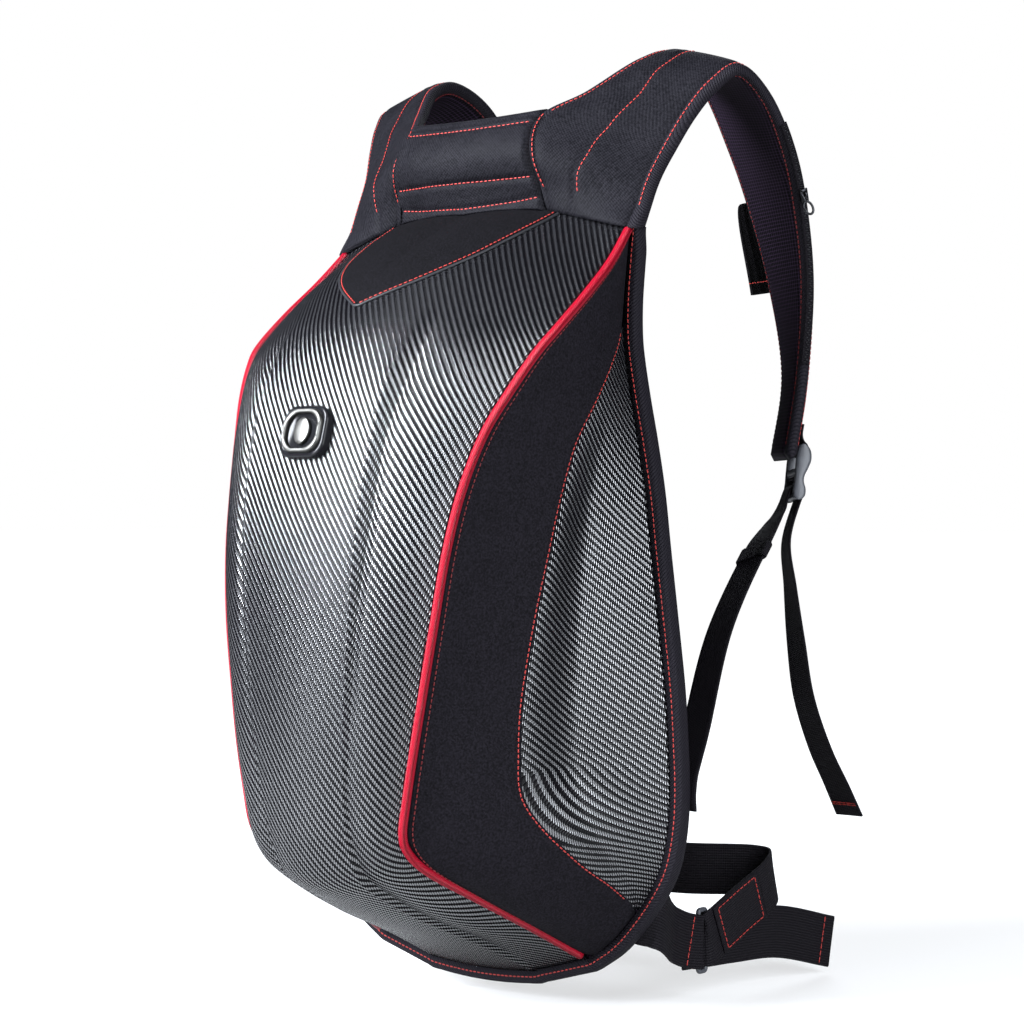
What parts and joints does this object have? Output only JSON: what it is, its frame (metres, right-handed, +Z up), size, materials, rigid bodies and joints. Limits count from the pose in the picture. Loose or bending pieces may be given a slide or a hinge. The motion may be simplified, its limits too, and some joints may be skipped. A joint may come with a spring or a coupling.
{
  "type": "motorcycle backpack",
  "caption": "Hard-shell motorcycle backpack: ridged moulded front shell, red piped side panels, padded back and neck yoke, shoulder straps with adjusters, and a waist belt.",
  "frame": {"origin": "in the flat rear face of the back panel, on the middle line, where the bag lies against the wearer", "axes": "+Z up, -Y the way the shell faces, +Y towards the wearer, +X to the right as seen from the front of the bag"},
  "size_m": [0.3029, 0.392, 0.5627],
  "materials": {
    "carbon_leather": "glossy, embossed twill",
    "matte_fabric": "matte, fine weave",
    "yoke_fabric": "matte, coarse weave",
    "red_piping": "satin",
    "ribbed_tape": "matte, ribbed",
    "black_webbing": "matte, ribbed",
    "black_plastic": "satin",
    "gloss_black": "glossy",
    "satin_metal": "satin",
    "mesh_fabric": "open mesh"
  },
  "bodies": {
    "root": {"front_shell": "carbon_leather", "side_inset_right": "carbon_leather", "side_inset_left": "carbon_leather", "top_panel": "matte_fabric", "side_panel_right": "matte_fabric", "side_panel_left": "matte_fabric", "piping_right": "red_piping", "piping_left": "red_piping", "back_panel": "mesh_fabric", "edge_binding": "ribbed_tape", "shoulder_strap_right": "yoke_fabric", "shoulder_strap_left": "yoke_fabric", "yoke": "yoke_fabric", "strap_zip": "black_plastic", "ladder_lock_right": "black_plastic", "ladder_lock_left": "black_plastic", "belt_ring": "black_plastic", "zip_slider": "satin_metal", "zip_pull": "satin_metal", "badge_ring": "satin_metal", "badge_insert": "satin_metal", "chest_tab_right": "black_webbing", "chest_tab_left": "black_webbing", "adjuster_webbing_right": "black_webbing", "adjuster_webbing_left": "black_webbing", "webbing_keeper_right": "black_webbing", "webbing_keeper_left": "black_webbing", "webbing_tail_right": "black_webbing", "webbing_tail_left": "black_webbing", "belt_long": "black_webbing", "belt_short": "black_webbing", "belt_tail": "black_webbing", "belt_patch": "black_webbing", "badge_base": "gloss_black"}
  },
  "joints": []
}
